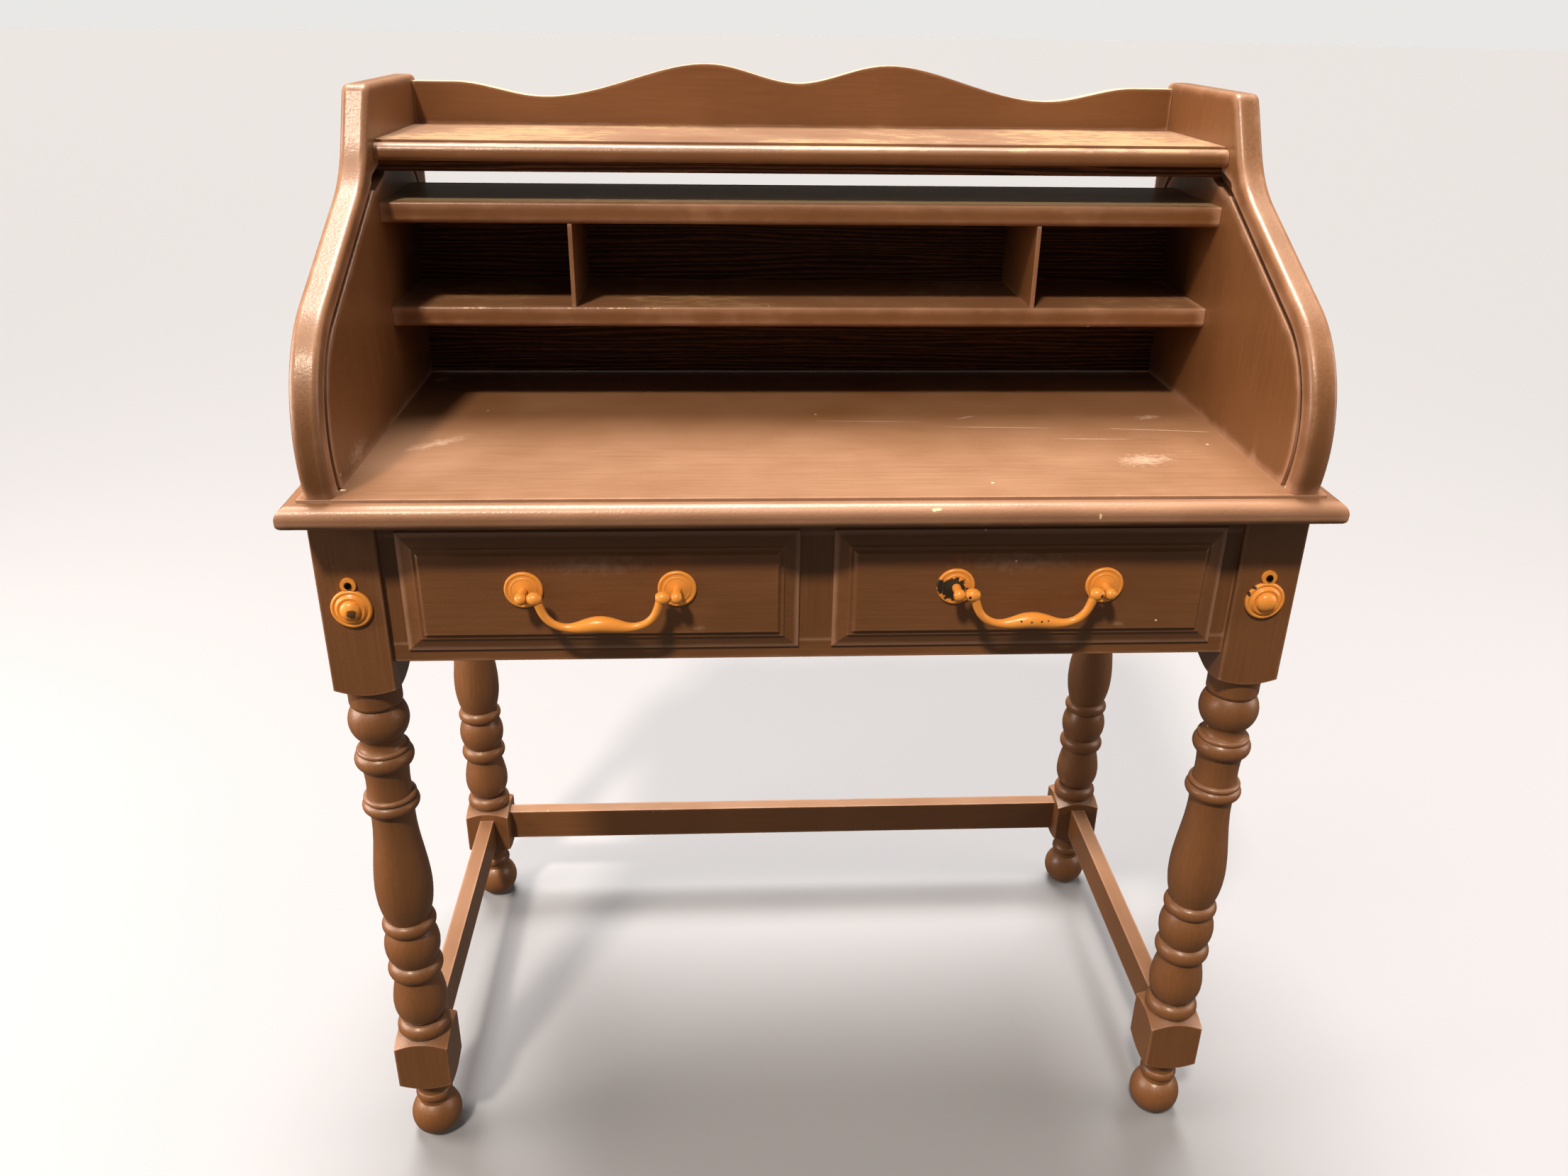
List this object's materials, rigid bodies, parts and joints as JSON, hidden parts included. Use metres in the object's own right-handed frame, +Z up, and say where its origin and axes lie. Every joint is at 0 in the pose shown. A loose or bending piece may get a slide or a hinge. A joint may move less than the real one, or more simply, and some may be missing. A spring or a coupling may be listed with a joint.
{
  "type": "roll top desk",
  "caption": "Painted desk on turned legs with panelled drawers under a moulded top and an open curved-sided hutch of pigeonholes with a scalloped rail.",
  "frame": {"origin": "on the floor under the middle of the desk top", "axes": "+X to the sitter's right, +Y from the sitter to the back of the desk, +Z up"},
  "size_m": [0.889, 0.508, 1.0864],
  "materials": {
    "paint": "brushed semi-satin brown paint",
    "oak_stain": "dark-stained oak veneer",
    "bare_wood": "bare softwood and thin sheet",
    "orange_metal": "brush-painted orange over cast metal",
    "steel": "plain fasteners"
  },
  "bodies": {
    "desk": {"desk_top": "paint", "leg_front_left": "paint", "leg_front_right": "paint", "leg_rear_left": "paint", "leg_rear_right": "paint", "apron_left": "paint", "apron_right": "paint", "apron_back": "paint", "rail_top": "paint", "rail_bottom": "paint", "stile_left": "paint", "stile_center": "paint", "stile_right": "paint", "stretcher_left": "paint", "stretcher_rear": "paint", "stretcher_right": "paint", "side_panel_left": "paint", "side_panel_right": "paint", "top_board": "paint", "top_board_batten": "paint", "gallery_rail": "paint", "upper_shelf": "paint", "lower_shelf": "paint", "divider_left": "paint", "divider_right": "paint", "back_panel": "oak_stain", "runner_left": "bare_wood", "runner_center": "bare_wood", "runner_right": "bare_wood", "kicker_left": "bare_wood", "kicker_right": "bare_wood", "glue_blocks": "bare_wood", "leg_bolts": "steel", "barrel_nuts": "steel", "hutch_screws": "steel", "cover_pins": "steel"},
    "drawer_left": {"drawer_left_front": "paint", "drawer_left_side_a": "bare_wood", "drawer_left_side_b": "bare_wood", "drawer_left_back": "bare_wood", "drawer_left_bottom": "bare_wood", "rosettes_left": "orange_metal", "handle_posts_left": "orange_metal", "handle_nuts_left": "steel"},
    "bail_left": {"bail_left": "orange_metal"},
    "cover_left": {"cover_left": "orange_metal"},
    "drawer_right": {"drawer_right_front": "paint", "drawer_right_side_a": "bare_wood", "drawer_right_side_b": "bare_wood", "drawer_right_back": "bare_wood", "drawer_right_bottom": "bare_wood", "rosettes_right": "orange_metal", "handle_posts_right": "orange_metal", "handle_nuts_right": "steel"},
    "bail_right": {"bail_right": "orange_metal"},
    "cover_right": {"cover_right": "orange_metal"}
  },
  "joints": [
    {"name": "drawer_left_slide", "type": "slide", "parent": "desk", "child": "drawer_left", "axis": [0, -1, 0], "range_m": [0, 0.28]},
    {"name": "bail_left_swing", "type": "hinge", "parent": "drawer_left", "child": "bail_left", "pos_m": [-0.18925, -0.236, 0.6805], "axis": [-1, 0, 0], "range_deg": [-12, 95]},
    {"name": "cover_left_swing", "type": "hinge", "parent": "desk", "child": "cover_left", "pos_m": [-0.4065, -0.213, 0.6843], "axis": [0, 1, 0], "range_deg": [-150, 150]},
    {"name": "drawer_right_slide", "type": "slide", "parent": "desk", "child": "drawer_right", "axis": [0, -1, 0], "range_m": [0, 0.28]},
    {"name": "bail_right_swing", "type": "hinge", "parent": "drawer_right", "child": "bail_right", "pos_m": [0.18925, -0.236, 0.6805], "axis": [-1, 0, 0], "range_deg": [-12, 95]},
    {"name": "cover_right_swing", "type": "hinge", "parent": "desk", "child": "cover_right", "pos_m": [0.4065, -0.213, 0.6843], "axis": [0, 1, 0], "range_deg": [-150, 150]}
  ]
}
